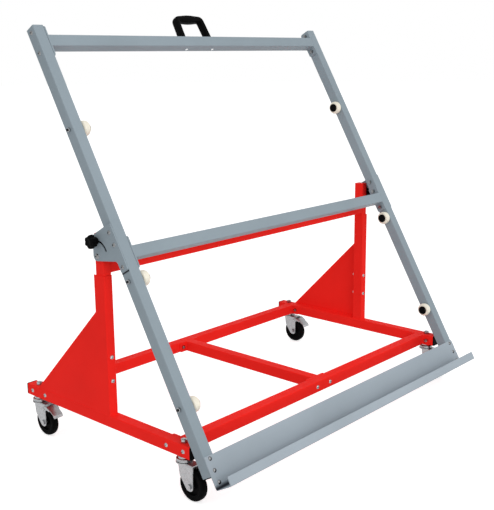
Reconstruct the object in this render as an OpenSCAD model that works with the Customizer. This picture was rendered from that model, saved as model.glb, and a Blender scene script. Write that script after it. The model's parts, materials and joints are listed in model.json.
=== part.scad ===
// Drywall cart: a wheeled base carries a tilting frame with a ledge on which wall boards stand.
// X runs along the ledge, -Y is the loading side and +Z is up. The floor is z = 0.

/* [Base frame] */
// Length of the base over both side members
base_len = 1430; // [1200:10:1660]
// Distance from the tilt axis back to the rear end of the side members
side_rear = 432; // [390:1:480]
// Outside width of the square tubes
tube = 40; // [36:1:44]
// Wall thickness of the tubes
tube_wall = 2; // [1.5:0.5:3]
// Outside corner radius of the tubes
tube_r = 3; // [2:0.5:4]
// Distance from a side member's end to the middle of the beam beside it
beam_inset = 64; // [62:1:66]
// Thickness of the end plates welded to the beams and bars
end_plate_t = 5; // [3:0.5:6]
// Length of the end plates
end_plate_len = 105; // [100:1:110]
// Distance of each end plate bolt from the middle of its tube
bolt_offset = 36.5; // [35:0.5:38]
// Thickness of the flange of the plastic plugs in the side members
plug_flange = 4.5; // [2:0.5:6]

/* [Posts and gussets] */
// Width of a post along X
post_w = 30; // [25:1:34]
// Depth of a post along Y
post_d = 40; // [34:1:46]
// Height of the tilt axis above the underside of the side members
pivot_h = 565; // [500:1:640]
// Thickness of the folded gusset sheet
gusset_t = 3; // [2:0.5:4]
// Distance from the tip of a gusset to the rear end of its side member
gusset_tip_inset = 66; // [60:1:120]
// Distance from the tilt axis down to the top of a gusset's sleeve
sleeve_drop = 63; // [60:1:100]
// Height of the lower gusset bolt above the side member
gusset_bolt_h = 115; // [70:1:160]
// Distance from the tilt axis down to the middle of the upper crossbeam
crossbeam_drop = 35.5; // [33:0.5:60]
// Distance between the two bolts of a gusset
gusset_bolt_gap = 80; // [46:1:125]

/* [Tilting frame] */
// Lean of the frame from the vertical when it rests on the base
rest_tilt = 30; // [26:0.5:32]
// Angle through which the frame tilts back from rest
tilt_range = 60; // [40:1:60]
// Distance from the tilt axis to the back of the rails
rail_back = 75; // [73:0.5:90]
// Length of the rails above the tilt axis
rail_above = 745; // [640:1:820]
// Length of the rails below the tilt axis
rail_below = 746; // [726:1:760]
// Distance from the top of the rails to the middle of the top bar
top_bar_inset = 54; // [53:1:90]
// Distance from the tilt axis down to the middle of the middle bar
mid_bar_drop = 37.5; // [36.5:0.5:44]
// Thickness of the pivot plates
pivot_plate_t = 4; // [3:0.5:6]
// Radius of the rounded ends of the pivot plates
lobe_r = 17; // [14:0.5:18]
// Distance from the tilt axis to the middle of the arc slot
slot_r = 49; // [46:0.5:52]
// Gap between the rails and the plugs of the side members at rest
rest_gap = 0.7; // [0.5:0.1:3]

/* [Shelf] */
// Thickness of the shelf sheet
shelf_t = 3; // [2:0.5:4]
// Height of the shelf's back above the lower end of the rails
shelf_up = 59; // [57:1:80]
// Depth of the shelf's back below the lower end of the rails
shelf_down = 43; // [38:1:48]
// Depth of the ledge in front of the rails, over the lip
shelf_ledge = 69; // [50:1:90]
// Height of the lip over the underside of the ledge
shelf_lip = 30; // [18:1:50]
// Inside radius of the shelf's bends
shelf_bend = 3; // [2:0.5:5]
// Height of the lowest shelf bolt over the underside of the ledge
shelf_bolt_low = 20.5; // [18:0.5:22]
// Distance between the shelf bolts
shelf_bolt_gap = 36; // [34:0.5:37]

/* [Rollers and handle] */
// Diameter of the guide rollers
roller_d = 50; // [44:1:54]
// Width of the guide rollers
roller_w = 25; // [20:1:30]
// Distance of the highest rollers above the tilt axis
roller_high = 388; // [290:1:540]
// Distance of the middle rollers below the tilt axis
roller_middle = 122; // [120:1:220]
// Distance of the lowest rollers below the tilt axis
roller_low = 532; // [430:1:610]
// Distance between the two handle bolts
handle_span = 134; // [120:1:160]
// Height of the handle over the top bar
handle_h = 97; // [88:0.5:112]
// Thickness of the handle's legs seen from the front
grip_w = 22; // [18:0.5:24]
// Depth of the handle's grip
grip_d = 31; // [26:0.5:34]

/* [Knobs] */
// Diameter of the clamp knobs over the lobes
knob_d = 45; // [40:1:50]
// Length of the clamp knobs
knob_len = 31; // [24:1:36]
// Number of lobes on a knob
knob_lobes = 6; // [4:1:8]

/* [Casters] */
// Diameter of the wheels
wheel_d = 100; // [96:1:106]
// Width of the tyres
wheel_w = 25; // [22:1:30]
// Distance of the wheel axle from the swivel axis
caster_trail = 37; // [35:0.5:42]
// Distance of a swivel axis from the end of its side member
caster_inset = 42; // [41:0.5:44]
// Height of the top of the fork above the axle
fork_rise = 69; // [67:0.5:76]
// Thickness of the fork sheet
fork_t = 3; // [2:0.5:4]
// Height of the swivel cup above the fork
cup_h = 17; // [12:0.5:24]
// Diameter of the swivel cup
cup_d = 52; // [48:1:54]

/* [Hidden] */

$fn = 48;
arc_steps = 8;
red = "#e0221f";
grey = "#8f9aa3";
black = "#17181a";
zinc = "#b4b8bb";
ivory = "#f1ead6";

// Clearances: running fits, clearance holes, seats, swivels and cuts
run_fit = 0.05;
hole_fit = 0.4;
seat_fit = 0.1;
run_gap = 0.3;
over = 1;

// Button head bolts of the frame: shank, head, socket, nut and tail
bolt_d = 8;
bolt_head_d = 14;
bolt_head = 4.4;
bolt_socket = 5;
bolt_socket_in = 2.5;
bolt_af = 13;
bolt_nut = 6.5;
bolt_tail = 2;
// Pivot bolts
pivot_d = 10;
pivot_head_d = 18;
pivot_head = 5.5;
pivot_socket = 6;
pivot_socket_in = 3;
pivot_af = 16;
pivot_nut = 8;
// Handle bolts
handle_bolt_d = 6;
handle_bolt_af = 10;
handle_bolt_head = 4;
handle_bolt_in = 16;
// Friction pads between posts and pivot plates, with corners in shares of the slot's radius
pad_r = 6;
pad_shares = [[0.25, -0.22], [0.25, 1.18], [-0.25, 1.18], [-1.1, 0.61], [-1.1, -0.06]];
// Knob stud and its washer
stud_d = 8;
stud_in = 18;
washer_d = 24;
washer_t = 2;
knob_hub_d = 26;
knob_hub_len = 6;
knob_hold = 13;
knob_dome = 5;
knob_core_share = 0.74;
knob_tip_share = 0.17;
// Plugs, plates and gussets
plug_in = 16;
rail_plug_flange = 3;
rail_plug_in = 3.5;
rail_cap_t = 2.5;
end_plate_r = 7;
gusset_r = 2.5;
sleeve_back = 6;
plate_edge = 1;
plate_set = 5.5;
plate_low = 89.5;
plate_high = 65;
plate_bolt_gap = 41.5;
lobe_low = 15.5;
lobe_back = 18;
lobe_slant = 22.5;
slot_spare = 1.5;
inner_fillet = 14;
// Rollers
roller_edge_r = 8;
roller_washer_d = 16;
roller_washer_t = 2;
roller_cap_d = 32;
roller_cap_h = 5;
roller_cap_r = 2.5;
cap_hold_share = 0.6;
// Handle bow
handle_lean = 3.5;
handle_foot = 4.5;
handle_crown = 9;
handle_corner_r = 13.5;
crown_share = 0.6;
grip_end = 18;
grip_swell = 7;
grip_r = 8;
// Caster inner sizes
caster_bolt_d = 12;
caster_bolt_af = 18;
caster_bolt_head = 6;
caster_nut = 10;
tyre_depth = 14;
tread_r = 6;
rim_w = 22;
rim_t = 5;
web_t = 8;
boss_d = 26;
axle_d = 10;
axle_af = 16;
axle_head = 5;
axle_nut = 8;
wheel_gap = 3;
boss_gap = 0.8;
crown_t = 4;
crown_d = 54;
leg_foot_r = 15;
leg_rear = 10;
leg_waist = 4;
leg_waist_rise = 27;
leg_heel = 10;
leg_bend = 14;
fork_bend = 5;
tip_r = 1;
full_share = 0.98;
cup_neck_d = 38;
cup_step_share = 0.6;
cup_r = 4;
// Brake pedal
pedal_t = 3;
pedal_gap = 0.6;
pedal_pin_d = 8;
pedal_pin_drop = 16;
pedal_pin_y = 46;
pedal_heel_y = 62;
pedal_heel_drop = 3;
pedal_knee_y = 97;
pedal_knee_drop = 28;
pedal_reach = 101;
pedal_tip_drop = 39;
pedal_flange = 6;
pedal_depth = 16;

// Derived places
cos_t = cos(rest_tilt);
sin_t = sin(rest_tilt);
base_z = wheel_d / 2 + fork_rise + run_gap + cup_h;
side_top = base_z + tube;
pivot_z = base_z + pivot_h;
pivot_over_side = pivot_h - tube;
side_front = (rail_back - rest_gap + pivot_over_side * sin_t) / cos_t - plug_flange;
side_len = side_front + side_rear;
rail_front = rail_back + tube;
rail_mid = rail_back + tube / 2;
shelf_out_r = shelf_bend + shelf_t;
shelf_low = rail_below + shelf_down;
lip_y = rail_front + shelf_ledge - shelf_out_r;
front_reach = lip_y * cos_t + (shelf_low - shelf_out_r) * sin_t + shelf_out_r;
rear_reach = side_rear + plug_flange;
pivot_y = (front_reach - rear_reach) / 2;
outer_x = base_len / 2;
inner_x = outer_x - tube;
tube_x = outer_x - tube / 2;
post_x = outer_x - gusset_t - post_w / 2;
post_in = post_x - post_w / 2;
post_out = post_x + post_w / 2;
front_end_y = pivot_y - side_front;
rear_end_y = pivot_y + side_rear;
beam_ys = [front_end_y + beam_inset, rear_end_y - beam_inset];
caster_ys = [front_end_y + caster_inset, rear_end_y - caster_inset];
post_top = sqrt(pow(rail_back - plug_flange / 2, 2) - pow(post_d / 2, 2));
post_len = pivot_over_side + post_top;
crossbeam_z = pivot_z - crossbeam_drop;
sleeve_h = pivot_over_side - sleeve_drop;
gusset_bolt_zs = [for (i = [0:1]) side_top + gusset_bolt_h + i * gusset_bolt_gap];
stud_z = pivot_z + slot_r;
plate_x = outer_x + pivot_plate_t;
top_bar_z = rail_above - top_bar_inset;
mid_bar_z = -mid_bar_drop;
plate_bolt_zs = [mid_bar_z - bolt_offset, mid_bar_z + bolt_offset, mid_bar_z + bolt_offset + plate_bolt_gap];
roller_zs = [roller_high, -roller_middle, -roller_low];
roller_x = inner_x - roller_washer_t - run_gap - roller_w / 2;
shelf_bolt_zs = [for (i = [0:2]) -shelf_low + shelf_bolt_low + i * shelf_bolt_gap];
axle_z = wheel_d / 2;
fork_top = axle_z + fork_rise;
fork_in = wheel_w / 2 + wheel_gap;
fork_out = fork_in + fork_t;
rim_r = wheel_d / 2 - tyre_depth;
sides = [-1, 1];
// Corners: left or right, and front or rear
corners = [[-1, 0], [1, 0], [-1, 1], [1, 1]];

function unit(v) = v / norm(v);

// Points of an arc of radius r that rounds the corner b between a and c
function corner_arc(a, b, c, r) =
  let(
    u = unit(a - b),
    v = unit(c - b),
    half = acos(u * v) / 2,
    middle = b + unit(u + v) * r / sin(half),
    start = b + u * r / tan(half) - middle,
    end = b + v * r / tan(half) - middle,
    first = atan2(start[1], start[0]),
    step = ((atan2(end[1], end[0]) - first + 540) % 360 - 180) / arc_steps
  )
  [for (i = [0:arc_steps]) middle + r * [cos(first + step * i), sin(first + step * i)]];

// Outline with every corner rounded by its own radius
function rounded(points, radii) =
  let(n = len(points))
  [for (i = [0:n - 1]) each corner_arc(points[(i + n - 1) % n], points[i], points[(i + 1) % n], radii[i])];

// Rectangle with round corners
module round_rect(w, d, r) {
  square([w - 2 * r, d], center = true);
  square([w, d - 2 * r], center = true);
  for (x = sides)
    for (y = sides)
      translate([x * (w / 2 - r), y * (d / 2 - r)])
        circle(r);
}

// Solid whose outline lies in the YZ plane
module along_x(len) {
  rotate([90, 0, 90])
    linear_extrude(len, center = true)
      children();
}

module tube_profile() {
  difference() {
    round_rect(tube, tube, tube_r);
    square(tube - 2 * tube_wall, center = true);
  }
}

// Cylinder along X, centred on the origin
module rod_x(d, len) {
  rotate([0, 90, 0])
    cylinder(d = d, h = len, center = true);
}

// Hexagon bolt with its nut: the head lies below z = 0 and the nut above z = grip
module hex_bolt(d, af, head, grip, nut, tail) {
  corner_d = af / cos(30);
  translate([0, 0, -head])
    cylinder(d = corner_d, h = head, $fn = 6);
  translate([0, 0, -head / 2])
    cylinder(d = d, h = head / 2 + grip + nut + tail);
  if (nut > 0)
    translate([0, 0, grip])
      cylinder(d = corner_d, h = nut, $fn = 6);
}

// Button head bolt with its nut: the head lies below z = 0 and the nut above z = grip
module dome_bolt(d, head_d, head, socket, socket_in, grip, af, nut, tail) {
  dome_r = (pow(head_d / 2, 2) + pow(head, 2)) / (2 * head);
  difference() {
    intersection() {
      translate([0, 0, dome_r - head])
        sphere(dome_r);
      translate([0, 0, -head])
        cylinder(d = 2 * head_d, h = head);
    }
    translate([0, 0, -head - over])
      cylinder(d = socket / cos(30), h = socket_in + over, $fn = 6);
  }
  translate([0, 0, (socket_in - head) / 2])
    cylinder(d = d, h = (head - socket_in) / 2 + grip + nut + tail);
  if (nut > 0)
    translate([0, 0, grip])
      cylinder(d = af / cos(30), h = nut, $fn = 6);
}

module frame_bolt(grip, nut, tail) {
  dome_bolt(bolt_d, bolt_head_d, bolt_head, bolt_socket, bolt_socket_in, grip, bolt_af, nut, tail);
}

// Places children with their +Z pointing from the outside towards the middle of the cart
module inward(side, x) {
  translate([side * x, 0, 0])
    rotate([0, -side * 90, 0])
      children();
}

module at_pivot() {
  translate([0, pivot_y, pivot_z])
    children();
}

// Frame coordinates: Z along the rails, -Y towards the boards, origin on the tilt axis
module tilted() {
  at_pivot()
    rotate([-rest_tilt, 0, 0])
      children();
}

// Tube along X with a welded plate at each end; the plates are long along Y
module crossbar(len) {
  difference() {
    union() {
      along_x(len)
        round_rect(tube, tube, tube_r);
      for (s = sides)
        translate([s * (len - end_plate_t) / 2, 0, 0])
          along_x(end_plate_t)
            round_rect(end_plate_len, tube, end_plate_r);
    }
    along_x(len + over)
      square(tube - 2 * tube_wall, center = true);
    for (s = sides)
      translate([0, s * bolt_offset, 0])
        rod_x(bolt_d + 2 * hole_fit, len + over);
  }
}

module side_member(side) {
  color(red)
    difference() {
      translate([side * tube_x, front_end_y, base_z + tube / 2])
        rotate([-90, 0, 0])
          linear_extrude(side_len)
            tube_profile();
      for (y = beam_ys)
        for (s = sides)
          translate([side * tube_x, y + s * bolt_offset, base_z + tube / 2])
            rod_x(bolt_d + 2 * hole_fit, tube + over);
      for (y = caster_ys)
        translate([side * tube_x, y, base_z - over])
          cylinder(d = caster_bolt_d + 2 * hole_fit, h = tube + 2 * over);
    }
}

// Plastic plug: the flange lies above z = 0 and the spigot below it
module plug(flange, depth) {
  linear_extrude(flange)
    round_rect(tube, tube, tube_r);
  translate([0, 0, -depth])
    linear_extrude(depth)
      square(tube - 2 * tube_wall - 2 * seat_fit, center = true);
}

module side_member_plugs() {
  color(black)
    for (s = sides) {
      translate([s * tube_x, front_end_y, base_z + tube / 2])
        rotate([90, 0, 0])
          plug(plug_flange, plug_in);
      translate([s * tube_x, rear_end_y, base_z + tube / 2])
        rotate([-90, 0, 0])
          plug(plug_flange, plug_in);
    }
}

module beam(y) {
  color(red)
    difference() {
      translate([0, y, base_z + tube / 2])
        crossbar(2 * inner_x);
      for (s = sides)
        translate([s * bolt_offset, y, base_z + tube / 2])
          rotate([90, 0, 0])
            cylinder(d = bolt_d + 2 * hole_fit, h = tube + over, center = true);
    }
}

module cross_member() {
  color(red)
    translate([0, (beam_ys[0] + beam_ys[1]) / 2, base_z + tube / 2])
      rotate([0, 0, 90])
        crossbar(beam_ys[1] - beam_ys[0] - tube);
}

module post(side) {
  color(red)
    difference() {
      translate([side * post_x, pivot_y, side_top])
        linear_extrude(post_len)
          round_rect(post_w, post_d, tube_r);
      translate([side * post_x, pivot_y, side_top - over])
        linear_extrude(post_len - tube_wall + over)
          square([post_w - 2 * tube_wall, post_d - 2 * tube_wall], center = true);
      at_pivot()
        translate([side * post_x, 0, 0])
          rod_x(pivot_d + 2 * hole_fit, post_w + over);
      translate([side * post_out, pivot_y, stud_z])
        rod_x(stud_d + 2 * hole_fit, post_w);
      for (z = gusset_bolt_zs)
        translate([side * post_x, pivot_y, z])
          rotate([90, 0, 0])
            cylinder(d = bolt_d + 2 * hole_fit, h = post_d + over, center = true);
    }
}

// Folded sheet: a web beside the post, drawn out to a triangle at the rear, and a flange on the post's front
module gusset(side) {
  tip_y = side_rear - gusset_tip_inset;
  rear_y = post_d / 2 + sleeve_back;
  color(red)
    mirror([side < 0 ? 1 : 0, 0, 0])
      translate([0, pivot_y, side_top])
        difference() {
          union() {
            translate([post_x + gusset_t / 2, 0, 0])
              linear_extrude(sleeve_h)
                round_rect(post_w + gusset_t, post_d + 2 * gusset_t, gusset_r);
            translate([post_out + gusset_t / 2, 0, 0])
              along_x(gusset_t)
                polygon([[0, 0], [tip_y, 0], [rear_y, tip_y - rear_y], [rear_y, sleeve_h], [0, sleeve_h]]);
          }
          translate([post_in - over, -post_d / 2, -over])
            cube([post_w + over, side_rear, sleeve_h + 2 * over]);
          for (z = gusset_bolt_zs)
            translate([post_x, -post_d / 2, z - side_top])
              rotate([90, 0, 0])
                cylinder(d = bolt_d + 2 * hole_fit, h = post_d, center = true);
        }
}

// Tube welded between the posts
module upper_crossbeam() {
  color(red)
    translate([0, pivot_y, crossbeam_z])
      along_x(2 * post_in)
        tube_profile();
}

module base_bolts() {
  color(zinc) {
    for (s = sides) {
      for (y = beam_ys)
        for (t = sides)
          translate([0, y + t * bolt_offset, base_z + tube / 2])
            inward(s, outer_x)
              frame_bolt(tube + end_plate_t, bolt_nut, bolt_tail);
      translate([s * bolt_offset, beam_ys[0] - tube / 2, base_z + tube / 2])
        rotate([-90, 0, 0])
          frame_bolt(tube + end_plate_t, bolt_nut, bolt_tail);
      translate([s * bolt_offset, beam_ys[1] + tube / 2, base_z + tube / 2])
        rotate([90, 0, 0])
          frame_bolt(tube + end_plate_t, bolt_nut, bolt_tail);
      for (z = gusset_bolt_zs)
        translate([s * post_x, pivot_y - post_d / 2 - gusset_t, z])
          rotate([-90, 0, 0])
            frame_bolt(gusset_t + post_d, bolt_nut, bolt_tail);
    }
  }
}

module pivot_bolts() {
  pivot_grip = run_gap + pivot_plate_t + gusset_t + post_w;
  color(zinc)
    at_pivot()
      for (s = sides)
        inward(s, plate_x + run_gap)
          dome_bolt(pivot_d, pivot_head_d, pivot_head, pivot_socket, pivot_socket_in, pivot_grip, pivot_af,
            pivot_nut, bolt_tail);
}

// Ring along X, centred on the origin
module ring_x(d, bore, len) {
  difference() {
    rod_x(d, len);
    rod_x(bore, len + over);
  }
}

// Pads held by the pivot bolts and the studs, on which the pivot plates slide
module friction_pads() {
  pad_t = gusset_t - run_gap;
  color(black)
    at_pivot()
      for (s = sides)
        translate([s * (post_out + pad_t / 2), 0, 0])
          along_x(pad_t)
            difference() {
              polygon(rounded(slot_r * pad_shares, [for (p = pad_shares) pad_r]));
              circle(d = pivot_d + 2 * hole_fit);
              translate([0, slot_r])
                circle(d = stud_d + 2 * hole_fit);
            }
}

module knob_nuts() {
  color(zinc)
    for (s = sides)
      translate([0, pivot_y, stud_z])
        inward(s, post_out - tube_wall)
          difference() {
            cylinder(d = bolt_af / cos(30), h = bolt_nut, $fn = 6);
            translate([0, 0, -over])
              cylinder(d = stud_d + 2 * run_fit, h = bolt_nut + 2 * over);
          }
}

module knob_stud(side) {
  stud_len = stud_in + gusset_t + pivot_plate_t + run_gap + washer_t + knob_hold;
  color(zinc)
    translate([0, pivot_y, stud_z])
      inward(side, plate_x + run_gap) {
        translate([0, 0, -washer_t])
          cylinder(d = washer_d, h = washer_t);
        translate([0, 0, -washer_t - knob_hold])
          cylinder(d = stud_d, h = stud_len);
      }
}

// Lobed clamp knob with its hub at z = 0
module knob(side) {
  core_d = knob_d * knob_core_share;
  knob_tip_r = knob_d * knob_tip_share;
  color(black)
    translate([side * (plate_x + run_gap + washer_t), pivot_y, stud_z])
      rotate([0, side * 90, 0])
        difference() {
          union() {
            cylinder(d = knob_hub_d, h = knob_len / 2);
            translate([0, 0, knob_hub_len])
              intersection() {
                linear_extrude(knob_len - knob_hub_len) {
                  circle(d = core_d);
                  for (i = [0:knob_lobes - 1])
                    rotate(i * 360 / knob_lobes)
                      translate([knob_d / 2 - knob_tip_r, 0])
                        circle(knob_tip_r);
                }
                rotate_extrude()
                  intersection() {
                    translate([0, (knob_len - knob_hub_len) / 2])
                      round_rect(knob_d, knob_len - knob_hub_len, knob_dome);
                    square([knob_d, knob_len]);
                  }
              }
          }
          translate([0, 0, -over])
            cylinder(d = stud_d + 2 * run_fit, h = knob_hold + run_gap + over);
        }
}

module rail(side) {
  len = rail_below + rail_above;
  side_zs = concat([top_bar_z - bolt_offset, top_bar_z + bolt_offset], plate_bolt_zs, roller_zs);
  color(grey)
    tilted()
      translate([side * tube_x, -rail_mid, 0])
        difference() {
          translate([0, 0, -rail_below])
            linear_extrude(len)
              round_rect(tube, tube, tube_r);
          translate([0, 0, -rail_below - over])
            linear_extrude(len - rail_cap_t + over)
              square(tube - 2 * tube_wall, center = true);
          for (z = side_zs)
            translate([0, 0, z])
              rod_x(bolt_d + 2 * hole_fit, tube + over);
          for (i = [1:2])
            translate([0, -tube / 2, shelf_bolt_zs[i]])
              rotate([90, 0, 0])
                cylinder(d = bolt_d + 2 * hole_fit, h = tube, center = true);
        }
}

module rail_plugs() {
  color(black)
    tilted()
      for (s = sides)
        translate([s * tube_x, -rail_mid, -rail_below])
          rotate([180, 0, 0])
            plug(rail_plug_flange, rail_plug_in);
}

module top_bar() {
  color(grey)
    tilted()
      translate([0, -rail_mid, top_bar_z])
        difference() {
          rotate([90, 0, 0])
            crossbar(2 * inner_x);
          for (s = sides)
            translate([s * handle_span / 2, 0, 0])
              cylinder(d = handle_bolt_d + 2 * hole_fit, h = tube + over, center = true);
        }
}

module middle_bar() {
  color(grey)
    tilted()
      translate([0, -rail_mid, mid_bar_z])
        rotate([90, 0, 0])
          crossbar(2 * inner_x);
}

// Outline of a pivot plate: a strip on the rail and a lobe that reaches the tilt axis and the knob
module pivot_plate_outline() {
  front_y = plate_edge - rail_front;
  back_y = -rail_back - plate_set;
  along = [cos(lobe_slant), sin(lobe_slant)];
  down = [sin(lobe_slant), -cos(lobe_slant)];
  heel = (lobe_back + lobe_low * sin(rest_tilt - lobe_slant)) / cos(rest_tilt - lobe_slant);
  inner_z = (back_y * along[1] - lobe_low) / along[0];
  top_y = (lobe_back - plate_high * sin_t) / cos_t;
  polygon(rounded(
    [[front_y, -plate_low], [back_y, -plate_low], [back_y, inner_z], heel * along + lobe_low * down,
      [top_y, plate_high], [front_y, plate_high]],
    [end_plate_r, end_plate_r, inner_fillet, lobe_r, lobe_r, end_plate_r]));
}

// Points of an arc in the plane of a pivot plate, with angles from the rails' direction towards the boards
function arc(middle, r, first, step, from, to) =
  [for (i = [from:to]) middle + r * [-sin(first + step * i), cos(first + step * i)]];

// Arc slot in which the stud of a knob runs
module arc_slot() {
  first = rest_tilt - slot_spare;
  last = rest_tilt + tilt_range + slot_spare;
  half = stud_d / 2 + hole_fit;
  steps = 3 * arc_steps;
  sweep = (last - first) / steps;
  turn = 180 / steps;
  polygon(concat(
    arc([0, 0], slot_r + half, first, sweep, 0, steps),
    arc(slot_r * [-sin(last), cos(last)], half, last, turn, 1, steps - 1),
    arc([0, 0], slot_r - half, last, -sweep, 0, steps),
    arc(slot_r * [-sin(first), cos(first)], half, first + 180, turn, 1, steps - 1)));
}

module pivot_plate(side) {
  color(grey)
    tilted()
      translate([side * (outer_x + pivot_plate_t / 2), 0, 0])
        along_x(pivot_plate_t)
          difference() {
            pivot_plate_outline();
            circle(d = pivot_d + 2 * run_fit);
            for (z = plate_bolt_zs)
              translate([-rail_mid, z])
                circle(d = bolt_d + 2 * hole_fit);
            arc_slot();
          }
}

// Quarter of a bend of the shelf, opening towards +X +Y
module shelf_corner() {
  intersection() {
    difference() {
      circle(shelf_out_r);
      circle(shelf_bend);
    }
    translate([-shelf_out_r, -shelf_out_r])
      square(shelf_out_r);
  }
}

// Folded profile: back, ledge and lip
module shelf_profile() {
  translate([0, shelf_out_r])
    square([shelf_t, shelf_down + shelf_up - shelf_out_r]);
  translate([shelf_out_r, shelf_out_r])
    shelf_corner();
  translate([shelf_out_r, 0])
    square([shelf_ledge - 2 * shelf_out_r, shelf_t]);
  translate([shelf_ledge - shelf_out_r, shelf_out_r])
    mirror([1, 0])
      shelf_corner();
  translate([shelf_ledge - shelf_t, shelf_out_r])
    square([shelf_t, shelf_lip - shelf_out_r]);
}

module shelf() {
  color(grey)
    tilted()
      difference() {
        translate([0, -rail_front, -shelf_low])
          along_x(base_len)
            mirror([1, 0])
              shelf_profile();
        for (s = sides)
          for (z = shelf_bolt_zs)
            translate([s * tube_x, -rail_front - shelf_t / 2, z])
              rotate([90, 0, 0])
                cylinder(d = bolt_d + 2 * hole_fit, h = shelf_t + over, center = true);
      }
}

module frame_bolts() {
  color(zinc)
    tilted()
      for (s = sides) {
        for (t = sides) {
          translate([0, -rail_mid, top_bar_z + t * bolt_offset])
            inward(s, outer_x)
              frame_bolt(tube + end_plate_t, bolt_nut, bolt_tail);
          translate([0, -rail_mid, mid_bar_z + t * bolt_offset])
            inward(s, plate_x)
              frame_bolt(pivot_plate_t + tube + end_plate_t, bolt_nut, bolt_tail);
        }
        translate([0, -rail_mid, plate_bolt_zs[2]])
          inward(s, plate_x)
            frame_bolt(pivot_plate_t + tube, bolt_nut, bolt_tail);
        for (i = [0:2])
          translate([s * tube_x, -rail_front - shelf_t, shelf_bolt_zs[i]])
            rotate([-90, 0, 0])
              frame_bolt(i == 0 ? shelf_t : shelf_t + tube_wall, bolt_nut, bolt_tail);
      }
}

// Bow of the handle with its foot on z = 0, legs moved out by grow and a top that rises by crown
module bow(grow, corner_z, crown) {
  foot_x = handle_span / 2 + grow;
  corner_x = foot_x - corner_z * tan(handle_lean);
  crown_r = crown_share * pow(corner_x, 2) / abs(crown);
  polygon(rounded(
    [[-foot_x, -handle_foot], [foot_x, -handle_foot], [corner_x, corner_z], [0, corner_z + crown],
      [-corner_x, corner_z]],
    [handle_foot, handle_foot, handle_corner_r + grow, crown_r, handle_corner_r + grow]));
}

// Bow handle whose grip hangs down in the middle to fill the hand
module handle() {
  foot_w = handle_span + grip_w;
  corner_z = handle_h - handle_crown;
  color(black)
    tilted()
      translate([0, -rail_mid, top_bar_z + tube / 2])
        difference() {
          intersection() {
            rotate([90, 0, 0])
              linear_extrude(grip_d, center = true)
                bow(grip_w / 2, corner_z, handle_crown);
            along_x(2 * foot_w)
              round_rect(grip_d, 2 * handle_h, grip_r);
            linear_extrude(2 * handle_h)
              round_rect(foot_w, grip_d, grip_r);
          }
          rotate([90, 0, 0])
            linear_extrude(2 * grip_d, center = true)
              bow(-grip_w / 2, corner_z - grip_end, -grip_swell);
          for (s = sides)
            translate([s * handle_span / 2, 0, -over])
              cylinder(d = handle_bolt_d + 2 * seat_fit, h = handle_bolt_in + 2 * over);
        }
}

module handle_bolts() {
  color(zinc)
    tilted()
      for (s = sides)
        translate([s * handle_span / 2, -rail_mid, top_bar_z - tube / 2])
          hex_bolt(handle_bolt_d, handle_bolt_af, handle_bolt_head, tube, 0, handle_bolt_in);
}

module roller_axles() {
  axle_grip = tube + roller_washer_t + 2 * run_gap + roller_w;
  color(zinc)
    tilted()
      for (s = sides)
        for (z = roller_zs)
          translate([0, -rail_mid, z]) {
            inward(s, outer_x)
              frame_bolt(axle_grip, 0, roller_cap_h * cap_hold_share);
            translate([s * (inner_x - roller_washer_t / 2), 0, 0])
              ring_x(roller_washer_d, bolt_d + 2 * seat_fit, roller_washer_t);
          }
}

module roller_caps() {
  cap_x = inner_x - roller_washer_t - 2 * run_gap - roller_w;
  color(black)
    tilted()
      for (s = sides)
        for (z = roller_zs)
          translate([0, -rail_mid, z])
            inward(s, cap_x)
              difference() {
                rotate_extrude()
                  intersection() {
                    round_rect(roller_cap_d, 2 * roller_cap_h, roller_cap_r);
                    square([roller_cap_d, 2 * roller_cap_h]);
                  }
                translate([0, 0, -over])
                  cylinder(d = bolt_d + 2 * seat_fit, h = over + roller_cap_h * (cap_hold_share + seat_fit));
              }
}

module roller(side, level) {
  bore_r = bolt_d / 2 + run_fit;
  color(ivory)
    tilted()
      translate([side * roller_x, -rail_mid, roller_zs[level]])
        rotate([0, 90, 0])
          rotate_extrude()
            intersection() {
              round_rect(roller_d, roller_w, roller_edge_r);
              translate([bore_r, -roller_w])
                square([roller_d, 2 * roller_w]);
            }
}

// Places children at a caster: the origin lies on the floor under the swivel axis
module at_corner(corner) {
  translate([corner[0] * tube_x, caster_ys[corner[1]], 0])
    children();
}

module caster_cups() {
  step_h = cup_h * cup_step_share;
  bore_r = caster_bolt_d / 2 + seat_fit;
  color(zinc)
    for (c = corners)
      at_corner(c)
        translate([0, 0, fork_top + run_gap]) {
          rotate_extrude()
            intersection() {
              translate([0, step_h / 2])
                round_rect(cup_d, step_h, cup_r);
              translate([bore_r, 0])
                square([cup_d, cup_h]);
            }
          rotate_extrude()
            translate([bore_r, 0])
              square([cup_neck_d / 2 - bore_r, cup_h]);
        }
}

module caster_bolts() {
  caster_grip = crown_t + 2 * run_gap + cup_h + tube;
  color(zinc)
    for (c = corners)
      at_corner(c)
        translate([0, 0, fork_top - crown_t - run_gap])
          hex_bolt(caster_bolt_d, caster_bolt_af, caster_bolt_head, caster_grip, caster_nut, bolt_tail);
}

// Side outline of a fork: upright front edge, rear edge that bends forward to a round foot
module fork_outline() {
  front_y = -caster_trail - leg_foot_r;
  foot_z = axle_z - leg_foot_r;
  polygon(rounded(
    [[leg_rear, fork_top + over], [leg_waist, axle_z + leg_waist_rise], [leg_heel - caster_trail, foot_z],
      [front_y, foot_z], [front_y, fork_top + over]],
    [tip_r, leg_bend, leg_foot_r, leg_foot_r * full_share, tip_r]));
}

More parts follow.
